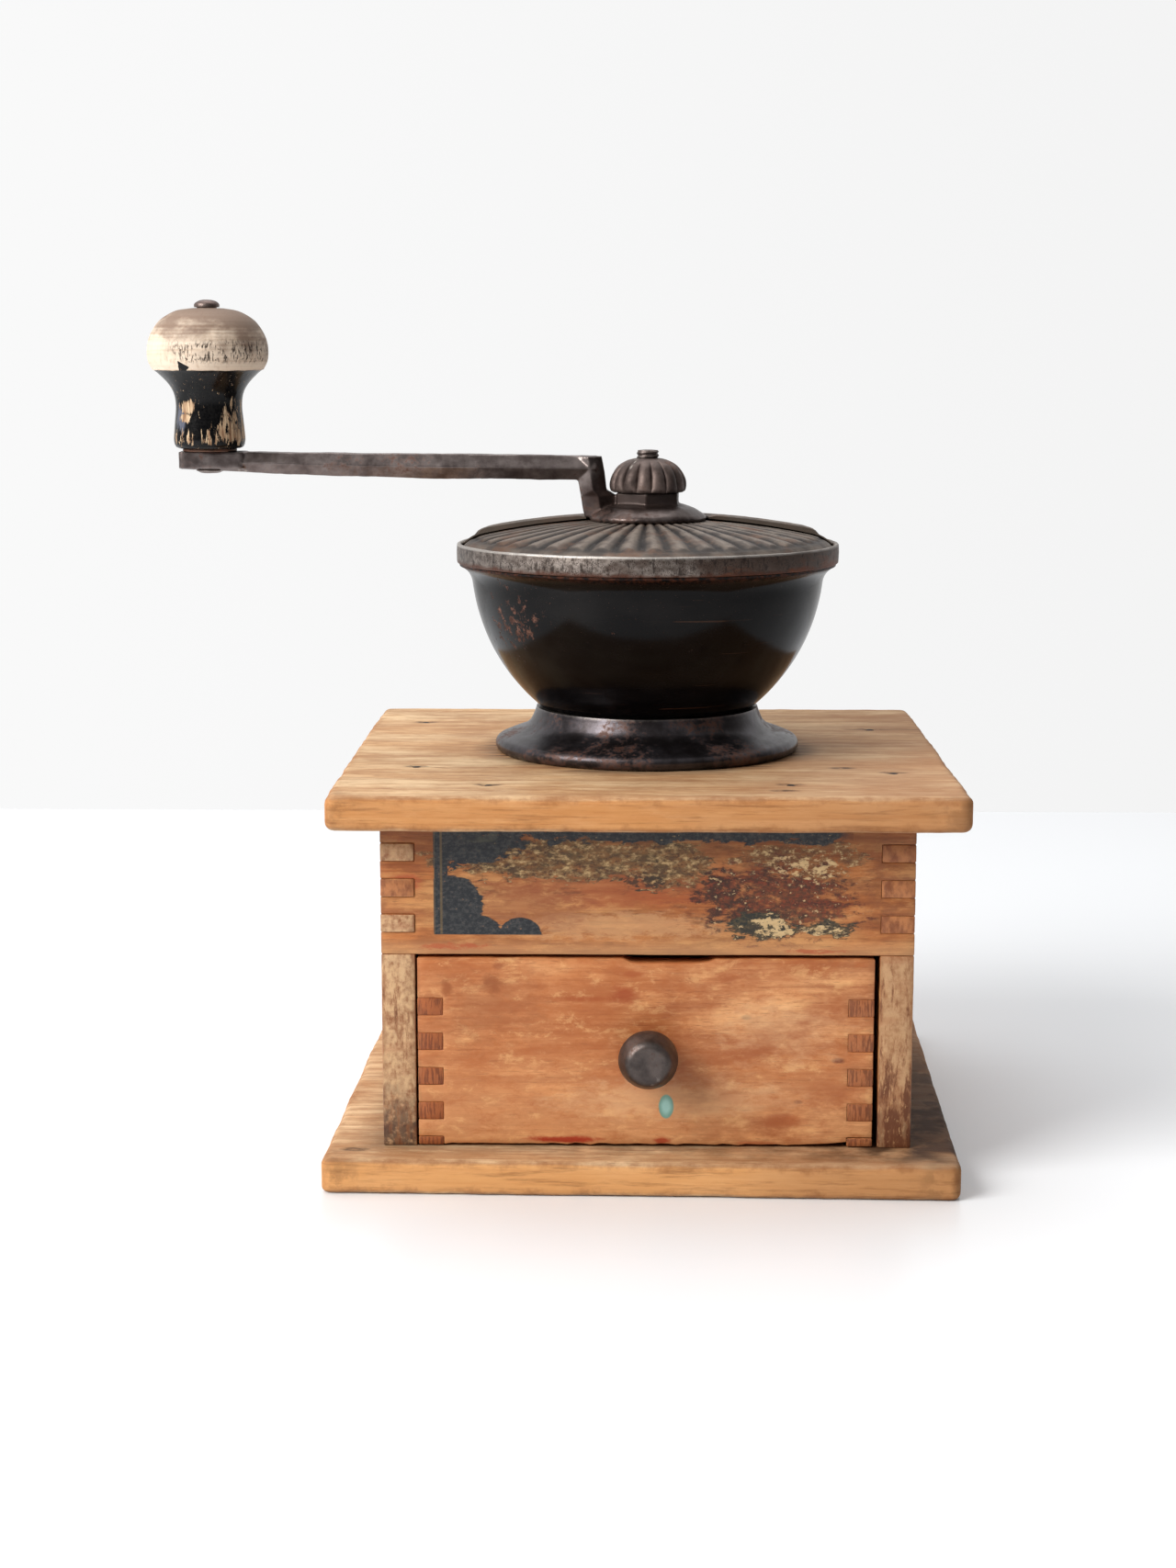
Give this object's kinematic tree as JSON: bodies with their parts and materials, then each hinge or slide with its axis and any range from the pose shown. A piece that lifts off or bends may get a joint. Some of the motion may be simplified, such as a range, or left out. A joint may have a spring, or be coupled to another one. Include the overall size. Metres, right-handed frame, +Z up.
{
  "type": "hand crank coffee grinder",
  "caption": "Box coffee mill: wooden case with a drawer, black iron hopper with a ribbed turning lid, conical burrs, and a crank with a turned knob.",
  "frame": {"origin": "centre of the base board's underside, below the spindle's axis", "axes": "+Z up along the spindle's axis; the drawer opens towards -Y; the crank arm points towards -X at rest"},
  "size_m": [0.2418, 0.1848, 0.2487],
  "materials": {
    "board_wood": "bare worn hardwood, light tan, fine straight grain",
    "box_wood": "orange-brown oiled hardwood with remnants of old paint",
    "drawer_wood": "orange-brown oiled hardwood, stained",
    "knob_wood": "turned hardwood, bare cap above, chipped black paint below",
    "black_enamel": "glossy black japanning on sheet iron, small rust chips",
    "collar_iron": "dark worn metal, satin",
    "lid_iron": "brown-grey aged casting with a worn bright rim",
    "crank_iron": "dark grey-brown forged iron, worn bright on its edges",
    "nut_iron": "brown rusted casting",
    "drawer_knob_iron": "dark grey casting",
    "burr_iron": "raw casting",
    "spindle_steel": "worn steel",
    "fastener_steel": "dark oxidised steel"
  },
  "bodies": {
    "case": {"base_board": "board_wood", "top_board": "board_wood", "front_panel": "box_wood", "back_panel": "box_wood", "left_side": "box_wood", "right_side": "box_wood", "top_board_nails": "fastener_steel", "base_board_nails": "fastener_steel", "hopper_collar": "collar_iron", "hopper_bowl": "black_enamel", "bowl_rivets": "fastener_steel", "upper_bridge": "burr_iron", "bridge_rivets": "fastener_steel", "lid_ring": "lid_iron", "grinding_ring": "burr_iron", "housing_bolts": "fastener_steel", "lower_bridge": "burr_iron", "bridge_screws": "fastener_steel"},
    "drawer": {"drawer_front": "drawer_wood", "drawer_left_side": "drawer_wood", "drawer_right_side": "drawer_wood", "drawer_back": "drawer_wood", "drawer_bottom": "drawer_wood", "drawer_brads": "fastener_steel", "drawer_knob": "drawer_knob_iron", "drawer_knob_screw": "fastener_steel"},
    "door": {"lid_door": "lid_iron"},
    "crank": {"crank_arm": "crank_iron", "handle_pin": "crank_iron", "knob_washer": "crank_iron"},
    "knob": {"handle_knob": "knob_wood"},
    "nut": {"adjusting_nut": "nut_iron"},
    "spindle": {"spindle": "spindle_steel", "grinding_cone": "burr_iron", "cone_pin": "spindle_steel"}
  },
  "joints": [
    {"name": "crank_turn", "type": "hinge", "parent": "case", "child": "crank", "pos_m": [0, 0, 0.186], "axis": [0, 0, 1], "continuous": true},
    {"name": "knob_spin", "type": "hinge", "parent": "crank", "child": "knob", "pos_m": [-0.132, 0, 0.22], "axis": [0, 0, 1], "continuous": true},
    {"name": "nut_turn", "type": "hinge", "parent": "crank", "child": "nut", "pos_m": [0, 0, 0.195], "axis": [0, 0, 1], "range_deg": [-360, 360]},
    {"name": "spindle_slide", "type": "slide", "parent": "crank", "child": "spindle", "axis": [0, 0, 1], "range_m": [-0.00128, 0.00128]},
    {"name": "door_turn", "type": "hinge", "parent": "case", "child": "door", "pos_m": [0, 0, 0.18], "axis": [0, 0, 1], "range_deg": [0, 170]},
    {"name": "drawer_slide", "type": "slide", "parent": "case", "child": "drawer", "axis": [0, -1, 0], "range_m": [0, 0.11]}
  ],
  "couplings": [
    {"joint": "spindle_slide", "follows": "nut_turn", "m_per_rad": -0.00020213}
  ]
}
